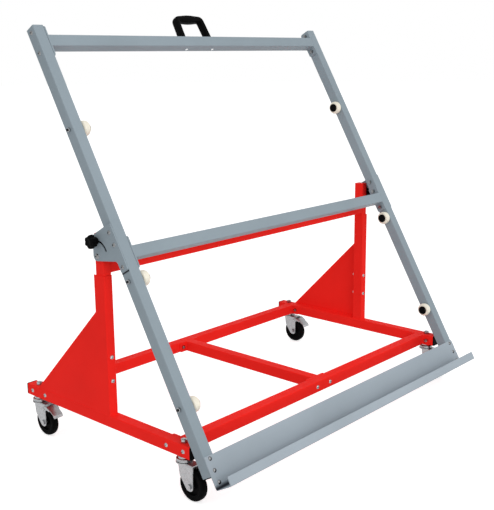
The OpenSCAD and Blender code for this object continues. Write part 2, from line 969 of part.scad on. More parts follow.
// Folded fork: a crown over the wheel and two legs; the wheel trails towards -Y
module fork(corner) {
  depth = caster_trail + leg_foot_r + crown_d;
  high = fork_top - axle_z + 2 * leg_foot_r;
  color(zinc)
    at_corner(corner)
      difference() {
        union() {
          intersection() {
            translate([0, depth / 2 - caster_trail - 2 * leg_foot_r, fork_top - high / 2])
              rotate([90, 0, 0])
                linear_extrude(depth, center = true)
                  difference() {
                    round_rect(2 * fork_out, high, fork_bend);
                    translate([0, -crown_t])
                      square([2 * fork_in, high], center = true);
                  }
            along_x(3 * fork_out)
              fork_outline();
          }
          translate([0, 0, fork_top - crown_t])
            cylinder(d = crown_d, h = crown_t);
        }
        translate([0, 0, fork_top - crown_t - over])
          cylinder(d = caster_bolt_d + 2 * run_fit, h = crown_t + 2 * over);
        translate([0, -caster_trail, axle_z])
          rod_x(axle_d + 2 * seat_fit, 2 * fork_out + over);
        if (corner[1] == 1)
          translate([0, -pedal_pin_y, fork_top - pedal_pin_drop])
            rod_x(pedal_pin_d + 2 * run_fit, 2 * fork_out + over);
      }
}

module at_axle(corner) {
  at_corner(corner)
    translate([0, -caster_trail, axle_z])
      children();
}

module axle(corner) {
  color(zinc)
    at_axle(corner)
      inward(corner[0], fork_out)
        hex_bolt(axle_d, axle_af, axle_head, 2 * fork_out, axle_nut, bolt_tail);
}

module tyre(corner) {
  color(black)
    at_axle(corner)
      rotate([0, 90, 0])
        rotate_extrude()
          intersection() {
            round_rect(wheel_d, wheel_w, tread_r);
            translate([rim_r + run_fit, -wheel_w])
              square([wheel_d, 2 * wheel_w]);
          }
}

module hub(corner) {
  bore_r = axle_d / 2 + run_fit;
  boss_len = 2 * (fork_in - boss_gap);
  color(black)
    at_axle(corner)
      rotate([0, 90, 0])
        rotate_extrude() {
          translate([bore_r, -boss_len / 2])
            square([boss_d / 2 - bore_r, boss_len]);
          translate([bore_r, -web_t / 2])
            square([rim_r - bore_r, web_t]);
          translate([rim_r - rim_t, -rim_w / 2])
            square([rim_t, rim_w]);
        }
}

// Brake pedal: two cheeks beside the fork, joined in front of the wheel by a sloping tread with a bent lip
module brake(corner) {
  pin_r = pedal_depth / 2;
  pin = [-pedal_pin_y, fork_top - pedal_pin_drop];
  heel = [-pedal_heel_y, fork_top - pedal_heel_drop];
  knee = [-pedal_knee_y, fork_top - pedal_knee_drop];
  tip = [-pedal_reach, fork_top - pedal_tip_drop];
  slope = unit(knee - heel);
  lip_slope = unit(tip - knee);
  under = [-slope[1], slope[0]];
  lip_under = [-lip_slope[1], lip_slope[0]];
  tread_high = heel + pedal_t * slope;
  knee_under = (under + lip_under) / (1 + under * lip_under);
  cheek_x = fork_out + pedal_gap + pedal_t / 2;
  color(zinc)
    at_corner(corner) {
      for (s = sides) {
        translate([s * cheek_x, 0, 0])
          along_x(pedal_t)
            polygon(rounded(
              [pin + [pin_r, -pin_r], pin + [pin_r, pin_r], heel, knee, knee + pedal_flange * under,
                heel + pedal_flange * under + pin_r * slope, pin + [-pin_r, -pin_r]],
              [pin_r * full_share, pin_r * full_share, tip_r, tip_r, tip_r, pin_r / 2, pin_r * full_share]));
        translate([s * (cheek_x - (pedal_gap + fork_t) / 2), pin[0], pin[1]])
          rod_x(pedal_pin_d, pedal_t + pedal_gap + fork_t);
      }
      along_x(2 * cheek_x + pedal_t)
        polygon([tread_high, knee, tip, tip + pedal_t * lip_under, knee + pedal_t * knee_under,
          tread_high + pedal_t * under]);
    }
}

side_member(-1);  // left_side_member
side_member(1);  // right_side_member
side_member_plugs();
beam(beam_ys[0]);  // front_beam
beam(beam_ys[1]);  // rear_beam
cross_member();
post(-1);  // left_post
post(1);  // right_post
gusset(-1);  // left_gusset
gusset(1);  // right_gusset
upper_crossbeam();
base_bolts();
pivot_bolts();
friction_pads();
knob_nuts();
caster_bolts();
caster_cups();
rail(-1);  // left_rail
rail(1);  // right_rail
rail_plugs();
top_bar();
middle_bar();
pivot_plate(-1);  // left_pivot_plate
pivot_plate(1);  // right_pivot_plate
shelf();
frame_bolts();
handle();
handle_bolts();
roller_axles();
roller_caps();
knob(-1);  // left_knob
knob_stud(-1);  // left_knob_stud
knob(1);  // right_knob
knob_stud(1);  // right_knob_stud
roller(-1, 0);  // roller_left_high
roller(-1, 1);  // roller_left_middle
roller(-1, 2);  // roller_left_low
roller(1, 0);  // roller_right_high
roller(1, 1);  // roller_right_middle
roller(1, 2);  // roller_right_low
fork(corners[0]);  // fork_front_left
fork(corners[1]);  // fork_front_right
fork(corners[2]);  // fork_rear_left
fork(corners[3]);  // fork_rear_right
axle(corners[0]);  // axle_front_left
axle(corners[1]);  // axle_front_right
axle(corners[2]);  // axle_rear_left
axle(corners[3]);  // axle_rear_right
tyre(corners[0]);  // tyre_front_left
tyre(corners[1]);  // tyre_front_right
tyre(corners[2]);  // tyre_rear_left
tyre(corners[3]);  // tyre_rear_right
hub(corners[0]);  // hub_front_left
hub(corners[1]);  // hub_front_right
hub(corners[2]);  // hub_rear_left
hub(corners[3]);  // hub_rear_right
brake(corners[2]);  // brake_rear_left
brake(corners[3]);  // brake_rear_right
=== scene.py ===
"""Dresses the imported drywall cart: paints, plating, mouldings, fine pieces and a pale studio."""

import json
import math

import bmesh
import bpy
import numpy as np
from bpy.props import FloatProperty, FloatVectorProperty, PointerProperty
from mathutils import Matrix, Vector


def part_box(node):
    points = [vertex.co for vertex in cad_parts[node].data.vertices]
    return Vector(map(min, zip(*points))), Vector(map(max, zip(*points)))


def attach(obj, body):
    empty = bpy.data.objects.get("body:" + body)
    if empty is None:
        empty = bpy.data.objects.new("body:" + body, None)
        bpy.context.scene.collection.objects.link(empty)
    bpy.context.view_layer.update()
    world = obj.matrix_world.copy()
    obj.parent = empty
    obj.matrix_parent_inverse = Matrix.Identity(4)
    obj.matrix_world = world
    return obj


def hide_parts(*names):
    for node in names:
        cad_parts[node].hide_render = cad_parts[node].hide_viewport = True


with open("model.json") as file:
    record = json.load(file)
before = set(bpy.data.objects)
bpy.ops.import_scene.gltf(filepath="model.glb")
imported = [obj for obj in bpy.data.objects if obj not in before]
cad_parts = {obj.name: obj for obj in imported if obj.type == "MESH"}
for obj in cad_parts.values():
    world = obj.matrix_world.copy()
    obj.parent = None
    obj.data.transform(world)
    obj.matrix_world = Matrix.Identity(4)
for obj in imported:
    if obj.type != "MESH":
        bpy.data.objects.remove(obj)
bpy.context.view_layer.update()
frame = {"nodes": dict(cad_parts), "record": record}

bl_info = {
    "name": "Drywall Cart",
    "version": (1, 0, 0),
    "blender": (4, 5, 0),
    "location": "View3D > Sidebar > Cart",
    "description": "Finishes and fine pieces for a tilting drywall cart",
    "category": "Object",
}

BASE_PAINT_NODES = (
    "left_side_member", "right_side_member", "front_beam", "rear_beam", "cross_member",
    "left_post", "right_post", "left_gusset", "right_gusset", "upper_crossbeam",
)
FRAME_PAINT_NODES = (
    "left_rail", "right_rail", "top_bar", "middle_bar", "left_pivot_plate", "right_pivot_plate",
)
FRAME_BOLT_NODES = ("frame_bolts", "pivot_bolts", "knob_nuts", "left_knob_stud", "right_knob_stud")
BASE_BOLT_NODES = ("base_bolts", "caster_bolts")
MOULDED_NODES = ("roller_caps", "side_member_plugs", "rail_plugs", "friction_pads")
CORNERS = ("front_left", "front_right", "rear_left", "rear_right")
ROLLERS = tuple(f"roller_{s}_{h}" for s in ("left", "right") for h in ("high", "middle", "low"))
JOINT_PLACES = {j["name"]: np.array(j["pos_m"]) for j in frame["record"]["behaviour"]["joints"]}
PIVOT = JOINT_PLACES["frame_tilt"]

# Values of a pattern between which its finish goes from one end of its range to the other
PATTERN_LOW = 0.3
PATTERN_HIGH = 0.7
# Mean roughness of each plating and moulding
ROUGHNESS = {
    "bolt_zinc": 0.18, "base_bolt_zinc": 0.22, "fork_zinc": 0.40, "axle_zinc": 0.30, "handle_bolt_zinc": 0.20,
    "race_zinc": 0.20, "pedal_zinc": 0.34, "axle_black": 0.24, "nut_zinc": 0.22,
    "black_plastic": 0.45, "handle_plastic": 0.40, "knob_plastic": 0.40, "hub_plastic": 0.50,
}
RED_SPECULAR = 0.02
GREY_SPECULAR = 0.06
BLACK_SPECULAR = 0.02
PLASTIC_GRAIN = 1800.0
HUB_GRAIN = 1200.0

# Points round a full turn: beads, rivets, the handle, pedals and axles, swivel cups, and wheels, rollers and knobs
BEAD_STEPS = 8
RIVET_STEPS = 32
HANDLE_STEPS = 40
FINE_STEPS = 48
CUP_STEPS = 72
WHEEL_STEPS = 96

# Weld beads: step along the seam, length of a ripple, and how far a bead stands off the face beside it
BEAD_STEP = 0.0008
BEAD_RIPPLE = 0.0034
BEAD_STAND = 0.0006
# Bead beside a tube on its end plate: inset from the plate's outer face, offset from the tube's middle, half length
PLATE_BEAD_INSET = 0.0056
PLATE_BEAD_ASIDE = 0.0206
PLATE_BEAD_HALF = 0.017
# Sheet of the gussets, inset of their outer beads, and the lengths that beads leave bare at the ends of a seam
GUSSET_SHEET = 0.003
GUSSET_BEAD_INSET = 0.0012
GUSSET_FRONT_MARGIN = 0.004
GUSSET_TIP_MARGIN = 0.006
SEAM_MARGIN = 0.003

# Drop from the tilt axis to the lower end of a pivot plate, along the rails
PLATE_DROP = 0.0895
# Painted shade in the grey paint starts at the first of four stops, is full from the second to the third and ends at
# the
# last: a painted shadow below a pivot plate and about a rail's outer side, and painted shade over the ledge's floor
# and behind its middle
PLATE_SHADOW_DROPS = (-0.0004, 0.0, 0.0035, 0.0065)
PLATE_SHADOW_DEPTHS = (-0.0008, -0.0004, 0.0004, 0.0008)
LEDGE_SHADE_HEIGHTS = (-0.0015, -0.0005, 0.0040, 0.0140)
LEDGE_SHADE_DEPTHS = (-0.0100, 0.0240, 0.0322, 0.0335)

# Half the side of the top bar that the handle stands on
HALF_TUBE = 0.020
# Lobes of a clamp knob, and the length that the rows of its skin are given for
KNOB_LOBES = 6
KNOB_ROWS_LENGTH = 0.0242
# Half the width of a roller nut across its flats
NUT_HALF_FLATS = 0.0065

# Floor: its grey as a source of light, and the glow that makes it white to the camera and in reflections
FLOOR_GREY = (0.80, 0.80, 0.80)
FLOOR_SPECULAR = 0.1
FLOOR_ROUGHNESS = 0.9
FLOOR_GLOW = 0.62
FLOOR_RINGS = 24
FLOOR_STEPS = 96
# Lamps: place, target, size and share of the key lamp's power
LAMPS = {
    "key_lamp": ((-1.5, -3.4, 2.4), (0.0, 0.0, 0.6), 2.6, 1.0),
    "fill_lamp": ((-1.0, -1.6, 3.6), (0.3, 0.2, 0.3), 2.4, 0.28),
    "low_lamp": ((3.1, -3.0, 1.0), (0.0, 0.0, 0.4), 1.6, 0.32),
}
SENSOR_WIDTH = 36.0


class CartShapeSettings(bpy.types.PropertyGroup):
    """Sizes of the fine pieces."""

    rest_tilt: FloatProperty(
        name="Rest Tilt", description="Lean of the frame at rest", subtype="ANGLE", default=math.radians(30.0))
    grip_width: FloatProperty(
        name="Grip Width", description="Thickness of the handle's legs seen from the front", unit="LENGTH",
        default=0.022)
    grip_depth: FloatProperty(
        name="Grip Depth", description="Thickness of the handle from front to back", unit="LENGTH", default=0.031)
    grip_swell: FloatProperty(
        name="Grip Swell", description="Growth of the grip above and below its middle line", unit="LENGTH",
        default=0.0052)
    handle_lean: FloatProperty(
        name="Handle Lean", description="Inward lean of the handle's legs", subtype="ANGLE",
        default=math.radians(3.5))
    handle_rise: FloatProperty(
        name="Handle Rise", description="Height of the bow's middle line over the top bar", unit="LENGTH",
        default=0.0800)
    lobe_height: FloatProperty(
        name="Lobe Height", description="Swing of a knob's radius between lobe and hollow", unit="LENGTH",
        default=0.0026)
    bead_radius: FloatProperty(
        name="Bead Radius", description="Radius of the weld beads", unit="LENGTH", default=0.0022)


class CartFinishSettings(bpy.types.PropertyGroup):
    """Colours and gloss of the cart's finishes."""

    base_red: FloatVectorProperty(
        name="Base Red", description="Powder coat of the base", subtype="COLOR", size=3,
        min=0.0, max=1.0, default=(0.95, 0.023, 0.017))
    frame_grey: FloatVectorProperty(
        name="Frame Grey", description="Powder coat of the tilting frame", subtype="COLOR", size=3,
        min=0.0, max=1.0, default=(0.287, 0.345, 0.385))
    # The shelf's grey is the frame's grey lightened: painted light that offsets the shade in the shelf's trough
    lightened_shelf_grey: FloatVectorProperty(
        name="Shelf Grey", description="Powder coat of the folded shelf", subtype="COLOR", size=3,
        min=0.0, max=1.0, default=(0.378, 0.435, 0.484))
    # Colour of the painted shadow below the pivot plates and of the painted shade on the ledge's floor
    painted_shade: FloatVectorProperty(
        name="Painted Shade", description="Dark marks on the ledge and below the pivot plates", subtype="COLOR", size=3,
        min=0.0, max=1.0, default=(0.03, 0.033, 0.042))
    zinc: FloatVectorProperty(
        name="Zinc", description="Zinc of casters, roller nuts and the base's bolts", subtype="COLOR", size=3,
        min=0.0, max=1.0, default=(0.37, 0.38, 0.39))
    bolt_zinc: FloatVectorProperty(
        name="Bolt Zinc", description="Darker zinc of frame, pivot and clamp bolts", subtype="COLOR", size=3,
        min=0.0, max=1.0, default=(0.22, 0.225, 0.23))
    bright_zinc: FloatVectorProperty(
        name="Bright Zinc", description="Polished zinc of the handle's bolts", subtype="COLOR", size=3,
        min=0.0, max=1.0, default=(0.80, 0.81, 0.82))
    axle_black: FloatVectorProperty(
        name="Axle Black", description="Blackened steel of the roller axles", subtype="COLOR", size=3,
        min=0.0, max=1.0, default=(0.02, 0.021, 0.022))
    plastic: FloatVectorProperty(
        name="Black Plastic", description="Knobs, handle, plugs and hubs", subtype="COLOR", size=3,
        min=0.0, max=1.0, default=(0.003, 0.003, 0.0032))
    rubber: FloatVectorProperty(
        name="Tyre Rubber", description="Tyres of the casters", subtype="COLOR", size=3,
        min=0.0, max=1.0, default=(0.003, 0.003, 0.0032))
    ivory: FloatVectorProperty(
        name="Roller Ivory", description="Guide rollers", subtype="COLOR", size=3,
        min=0.0, max=1.0, default=(0.88, 0.83, 0.70))
    paint_roughness: FloatProperty(
        name="Paint Roughness", description="Mean roughness of the powder coats", subtype="FACTOR",
        min=0.0, max=1.0, default=0.45)


class CartStageSettings(bpy.types.PropertyGroup):
    """Studio light, floor and camera."""

    lens: FloatProperty(
        name="Lens", description="Focal length of the camera", unit="CAMERA", min=10.0, default=62.51)
    yaw: FloatProperty(
        name="Camera Yaw", description="Heading of the camera from +Y towards +X", subtype="ANGLE",
        default=math.radians(47.93))
    pitch: FloatProperty(
        name="Camera Pitch", description="Downward slope of the camera", subtype="ANGLE",
        default=math.radians(12.72))
    roll: FloatProperty(
        name="Camera Roll", description="Lean of the camera", subtype="ANGLE", default=math.radians(-0.55))
    spot: FloatVectorProperty(
        name="Camera Place", description="Place of the camera", subtype="TRANSLATION", unit="LENGTH",
        size=3, default=(-2.3933, -2.0786, 1.3045))
    floor_radius: FloatProperty(
        name="Floor Radius", description="Radius of the round floor", unit="LENGTH", default=40.0)
    ambient: FloatProperty(
        name="Ambient Light", description="Strength of the even studio light", min=0.0, default=0.68)
    key_power: FloatProperty(
        name="Key Power", description="Power of the large key lamp", unit="POWER", min=0.0, default=42.0)


def math_node(tree, operation, *values):
    """Result of a Math node in a node tree, fed by sockets or plain numbers."""
    node = tree.nodes.new("ShaderNodeMath")
    node.operation = operation
    for value, socket in zip(values, node.inputs):
        if isinstance(value, bpy.types.NodeSocket):
            tree.links.new(value, socket)
        else:
            socket.default_value = value
    return node.outputs[0]


def seen_rays(tree):
    """1 for rays that show a surface itself, from the camera, in gloss or through glass, and 0 for light."""
    path = tree.nodes.new("ShaderNodeLightPath")
    seen = math_node(tree, "MAXIMUM", path.outputs["Is Camera Ray"], path.outputs["Is Glossy Ray"])
    return math_node(tree, "MAXIMUM", seen, path.outputs["Is Transmission Ray"])


class FinishTree:
    """Builds one material: a Principled shader and the nodes that feed it."""

    def __init__(self, name, metallic=0.0, specular=0.5):
        self.material = bpy.data.materials.new(name)
        self.material.use_nodes = True
        self.node_tree = self.material.node_tree
        self.nodes = self.node_tree.nodes
        self.links = self.node_tree.links
        self.shader = self.nodes["Principled BSDF"]
        self.shader.inputs["Metallic"].default_value = metallic
        self.shader.inputs["Specular IOR Level"].default_value = specular
        self.place = self.nodes.new("ShaderNodeTexCoord").outputs["Object"]

    def noise(self, scale, detail=2.0, stretch=(1.0, 1.0, 1.0)):
        """Noise value over object space, in cycles per metre, squeezed along an axis by stretch."""
        mapping = self.nodes.new("ShaderNodeMapping")
        mapping.inputs["Scale"].default_value = stretch
        self.links.new(self.place, mapping.inputs["Vector"])
        noise = self.nodes.new("ShaderNodeTexNoise")
        noise.inputs["Scale"].default_value = scale
        noise.inputs["Detail"].default_value = detail
        self.links.new(mapping.outputs["Vector"], noise.inputs["Vector"])
        return noise.outputs["Fac"]

    def cells(self, scale):
        """Random value for each cell of a Voronoi pattern, as in zinc spangle."""
        voronoi = self.nodes.new("ShaderNodeTexVoronoi")
        voronoi.inputs["Scale"].default_value = scale
        self.links.new(self.place, voronoi.inputs["Vector"])
        split = self.nodes.new("ShaderNodeSeparateColor")
        self.links.new(voronoi.outputs["Color"], split.inputs["Color"])
        return split.outputs["Red"]

    def span(self, value, low, high, start=PATTERN_LOW, end=PATTERN_HIGH):
        """Maps a pattern value from start..end to low..high."""
        ranged = self.nodes.new("ShaderNodeMapRange")
        ranged.inputs["From Min"].default_value = start
        ranged.inputs["From Max"].default_value = end
        ranged.inputs["To Min"].default_value = low
        ranged.inputs["To Max"].default_value = high
        self.links.new(value, ranged.inputs["Value"])
        return ranged.outputs["Result"]

    def shade(self, value, colour, low, high):
        """Base colour between low and high times colour, by a pattern value."""
        ramp = self.nodes.new("ShaderNodeValToRGB")
        for stop, place, factor in zip(ramp.color_ramp.elements, (PATTERN_LOW, PATTERN_HIGH), (low, high)):
            stop.position = place
            stop.color = [min(1.0, c * factor) for c in colour] + [1.0]
        self.links.new(value, ramp.inputs["Fac"])
        self.links.new(ramp.outputs["Color"], self.shader.inputs["Base Color"])

    def along(self, direction):
        """Distance of a point from the origin along a direction."""
        dot = self.nodes.new("ShaderNodeVectorMath")
        dot.operation = "DOT_PRODUCT"
        dot.inputs[1].default_value = direction
        self.links.new(self.place, dot.inputs[0])
        return dot.outputs["Value"]

    def band(self, value, origin, stops):
        """Mask of a value: it rises between the first two stops from an origin and falls between the last two."""
        start, full, fade, end = (origin + stop for stop in stops)
        rise, fall = self.span(value, 0.0, 1.0, start, full), self.span(value, 1.0, 0.0, fade, end)
        return math_node(self.node_tree, "MULTIPLY", rise, fall)

    def mark(self, colour, first, second):
        """Mixes a colour into the base colour where two masks meet."""
        mask = math_node(self.node_tree, "MULTIPLY", first, second)
        base = self.shader.inputs["Base Color"]
        mix = self.nodes.new("ShaderNodeMix")
        mix.data_type = "RGBA"
        self.links.new(mask, mix.inputs[0])
        self.links.new(base.links[0].from_socket, mix.inputs[6])
        mix.inputs[7].default_value = (*colour, 1.0)
        self.links.new(mix.outputs[2], base)

    def roughness(self, value):
        """Lets a pattern value set the roughness."""
        self.links.new(value, self.shader.inputs["Roughness"])

    def bump(self, value, strength, depth):
        """Raises the surface by a pattern value, up to a depth."""
        node = self.nodes.new("ShaderNodeBump")
        node.inputs["Strength"].default_value = strength
        node.inputs["Distance"].default_value = depth
        self.links.new(value, node.inputs["Height"])
        self.links.new(node.outputs["Normal"], self.shader.inputs["Normal"])


def powder_coat(name, colour, roughness, specular):
    """Tree of a powder coat: slow drift of tone, cloudy gloss and the fine orange peel of baked paint."""
    tree = FinishTree(name, specular=specular)
    tree.shade(tree.noise(scale=4.0, detail=4.0), colour, low=0.95, high=1.05)
    tree.roughness(tree.span(tree.noise(scale=35.0, detail=4.0), low=roughness - 0.06, high=roughness + 0.07))
    tree.bump(tree.noise(scale=650.0), strength=0.10, depth=0.0004)
    return tree


def paint_plate_shadow(tree, colour, tilt):
    """Painted shadow: a dark line on the outer sides of the rails, below the lower ends of the pivot plates."""
    down = np.array([0.0, -math.sin(tilt), -math.cos(tilt)])
    edge = down @ PIVOT + PLATE_DROP
    outer = node_box("right_rail")[1][0]
    drop, aside = tree.along(down), math_node(tree.node_tree, "ABSOLUTE", tree.along((1.0, 0.0, 0.0)))
    tree.mark(colour, tree.band(drop, edge, PLATE_SHADOW_DROPS), tree.band(aside, outer, PLATE_SHADOW_DEPTHS))


def paint_ledge_shade(tree, colour):
    """Painted shade on the ledge's floor, darkest in its inner corner and fading towards the lip."""
    ledge = frame["record"]["mounts"][0]
    up = np.array(ledge["axis"])
    back = np.cross(up, (1.0, 0.0, 0.0))
    floor, middle = up @ ledge["pos_m"], back @ ledge["pos_m"]
    height, depth = tree.along(up), tree.along(back)
    tree.mark(colour, tree.band(height, floor, LEDGE_SHADE_HEIGHTS), tree.band(depth, middle, LEDGE_SHADE_DEPTHS))


def zinc_plate(name, colour):
    """Zinc plating: spangled cells of tone, drawn streaks in the gloss and a faint grain."""
    tree, roughness = FinishTree(name, metallic=1.0), ROUGHNESS[name]
    streaks = tree.noise(scale=120.0, detail=3.0, stretch=(1.0, 1.0, 4.0))
    tree.shade(tree.cells(scale=320.0), colour, low=0.86, high=1.08)
    tree.roughness(tree.span(streaks, low=roughness - 0.08, high=roughness + 0.10))
    tree.bump(tree.noise(scale=1500.0), strength=0.08, depth=0.0002)
    return tree.material


def moulded_plastic(name, colour, grain=PLASTIC_GRAIN):
    """Moulded plastic: eroded grain of the tool and a slight drift of tone."""
    tree, roughness = FinishTree(name, specular=BLACK_SPECULAR), ROUGHNESS[name]
    tree.shade(tree.noise(scale=30.0, detail=3.0), colour, low=0.85, high=1.15)
    tree.roughness(tree.span(tree.noise(scale=90.0, detail=3.0), low=roughness - 0.05, high=roughness + 0.08))
    tree.bump(tree.noise(scale=grain), strength=0.16, depth=0.0003)
    return tree.material


def tyre_rubber(name, colour):
    """Tyre rubber: dusty drift of tone, dull gloss and a skin of fine pits."""
    tree = FinishTree(name, specular=BLACK_SPECULAR)
    tree.shade(tree.noise(scale=60.0, detail=5.0), colour, low=0.8, high=1.5)
    tree.roughness(tree.span(tree.noise(scale=45.0, detail=4.0), low=0.52, high=0.74))
    tree.bump(tree.noise(scale=1100.0, detail=3.0), strength=0.2, depth=0.0004)
    return tree.material


def roller_nylon(name, colour):
    """Cast nylon: creamy tone with soft clouds, turned rings and a low gloss."""
    tree = FinishTree(name)
    tree.shade(tree.noise(scale=40.0, detail=3.0), colour, low=0.96, high=1.03)
    tree.roughness(tree.span(tree.noise(scale=60.0), low=0.30, high=0.44))
    tree.bump(tree.noise(scale=900.0, stretch=(8.0, 1.0, 1.0)), strength=0.08, depth=0.0003)
    return tree.material


def dress(nodes, material):
    """Gives every listed CAD node the one material."""
    for name in nodes:
        mesh = frame["nodes"][name].data
        mesh.materials.clear()
        mesh.materials.append(material)


def grid_faces(rows, columns, closed, start):
    """Quads between the rows of a grid whose columns wrap round; the rows wrap too, or end in flat caps."""
    i, j = np.meshgrid(np.arange(rows if closed else rows - 1), np.arange(columns), indexing="ij")
    i2, j2 = (i + 1) % rows, (j + 1) % columns
    quads = start + np.stack([i * columns + j, i * columns + j2, i2 * columns + j2, i2 * columns + j], -1)
    faces = quads.reshape(-1, 4).tolist()
    if not closed:
        faces.append((start + np.arange(columns)[::-1]).tolist())
        faces.append((start + (rows - 1) * columns + np.arange(columns)).tolist())
    return faces


def grid_piece(name, grids, material, body, replaced=(), closed=False):
    """One object from (rows, columns, 3) grids: smooth, riding on its body, in the place of CAD nodes."""
    faces, start = [], 0
    for grid in grids:
        faces += grid_faces(grid.shape[0], grid.shape[1], closed, start)
        start += grid.shape[0] * grid.shape[1]
    mesh = bpy.data.meshes.new(name)
    mesh.from_pydata(np.concatenate([grid.reshape(-1, 3) for grid in grids]).tolist(), [], faces)
    work = bmesh.new()
    work.from_mesh(mesh)
    bmesh.ops.recalc_face_normals(work, faces=work.faces)
    work.to_mesh(mesh)
    work.free()
    mesh.shade_smooth()
    mesh.materials.append(material)
    piece = bpy.data.objects.new(name, mesh)
    bpy.context.scene.collection.objects.link(piece)
    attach(piece, body)
    if replaced:
        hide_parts(*replaced)


def eased(points, rounds=3):
    """Open polyline with its corners cut at a quarter and three quarters of each side, again and again."""
    points = np.asarray(points, float)
    for _ in range(rounds):
        a, b = points[:-1], points[1:]
        cut = np.stack([0.75 * a + 0.25 * b, 0.25 * a + 0.75 * b], 1).reshape(-1, points.shape[1])
        points = np.vstack([points[:1], cut, points[-1:]])
    return points


def eased_loop(points, rounds=3):
    """Closed polyline with its corners cut in the same way."""
    points = np.asarray(points, float)
    for _ in range(rounds):
        after = np.roll(points, -1, axis=0)
        cut = np.stack([0.75 * points + 0.25 * after, 0.25 * points + 0.75 * after], 1)
        points = cut.reshape(-1, points.shape[1])
    return points


def full_turn(steps):
    """Angles at even steps round a full turn."""
    return 2 * np.pi * np.arange(steps) / steps


def superellipse(steps, power):
    """Closed outline of unit half widths: the circle's cosine and sine, each with its size raised to a power."""
    a = full_turn(steps)
    wave = np.stack([np.cos(a), np.sin(a)], -1)
    return np.sign(wave) * np.abs(wave) ** power


def turned(profile, middle, axis, steps):
    """Surface of revolution: rows of (radius, height) at angle a give r (u cos a + v sin a) + h axis."""
    axis = np.asarray(axis, float)
    u = np.roll(axis, 1)
    v = np.cross(axis, u)
    a = full_turn(steps)
    ring = np.cos(a)[:, None] * u + np.sin(a)[:, None] * v
    return np.asarray(middle) + profile[:, None, :1] * ring + profile[:, None, 1:] * axis


def carried(path, upright, outline):
    """Outline of (sideways, upright) offsets carried along a flat path: p + s (t x n) + h n."""
    upright = np.asarray(upright, float)
    along = np.gradient(path, axis=0)
    along /= np.linalg.norm(along, axis=1, keepdims=True)
    aside = np.cross(along, upright)
    return path[:, None] + outline[..., :1] * aside[:, None] + outline[..., 1:] * upright


def walked(path, step):
    """Points at even steps along a polyline."""
    run = np.concatenate([[0.0], np.cumsum(np.linalg.norm(np.diff(path, axis=0), axis=1))])
    at = np.linspace(0.0, run[-1], max(3, int(run[-1] / step) + 1))
    return np.column_stack([np.interp(at, run, path[:, k]) for k in range(path.shape[1])])


def leant(points, tilt):
    """Frame coordinates (z along the rails, origin on the tilt axis) turned into the cart's own."""
    x, y, z = np.moveaxis(np.asarray(points, float), -1, 0)
    c, s = math.cos(tilt), math.sin(tilt)
    return np.stack([x + PIVOT[0], y * c + z * s + PIVOT[1], z * c - y * s + PIVOT[2]], -1)


def level(point, tilt):
    """Cart coordinates turned into frame coordinates."""
    x, y, z = np.asarray(point, float) - PIVOT
    c, s = math.cos(tilt), math.sin(tilt)
    return np.array([x, y * c - z * s, y * s + z * c])


def node_box(node):
    """Lowest and highest corner of a node, and the middle between them."""
    low, high = (np.array(corner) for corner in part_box(node))
    return low, high, (low + high) / 2


def wheel_ring(node, section):
    """Ring about X in the place of a node: its closed section, made from reach and half width, turned once round."""
    low, high, middle = node_box(node)
    profile = section((high[2] - low[2]) / 2, (high[0] - low[0]) / 2)
    return turned(profile, middle, (1.0, 0.0, 0.0), WHEEL_STEPS)


def mirrored(wall):
    """Closed section of (radius, height) from the half with positive heights, its corners eased."""
    return eased_loop(np.vstack([wall, wall[:0:-1] * (1.0, -1.0)]), 2)


def bead(start, end, upright, radius):
    """Weld bead: a circle whose radius swells in ripples, carried along a straight seam and closed at its ends."""
    thin_end, bluntness, ripple = 0.35, 24, 0.10
    path = walked(np.array([start, end], float), BEAD_STEP)
    run = np.linspace(0.0, np.linalg.norm(np.subtract(end, start)), len(path))
    ease = 1.0 - np.abs(2 * run / run[-1] - 1.0) ** bluntness
    swell = radius * (thin_end + (1.0 - thin_end) * ease) * (1.0 + ripple * np.sin(2 * np.pi * run / BEAD_RIPPLE))
    a = full_turn(BEAD_STEPS)
    outline = swell[:, None, None] * np.stack([np.cos(a), np.sin(a)], -1)[None]
    return carried(path, upright, outline)


def bar_beads(reach, radius):
    """Beads of a bar along X with its middle at the origin: two across each end plate, beside the tube."""
    beads = []
    for end in (-1.0, 1.0):
        for side in (-1.0, 1.0):
            x, y = end * (reach - PLATE_BEAD_INSET), side * PLATE_BEAD_ASIDE
            beads.append(bead((x, y, -PLATE_BEAD_HALF), (x, y, PLATE_BEAD_HALF), (0.0, 1.0, 0.0), radius))
    return beads


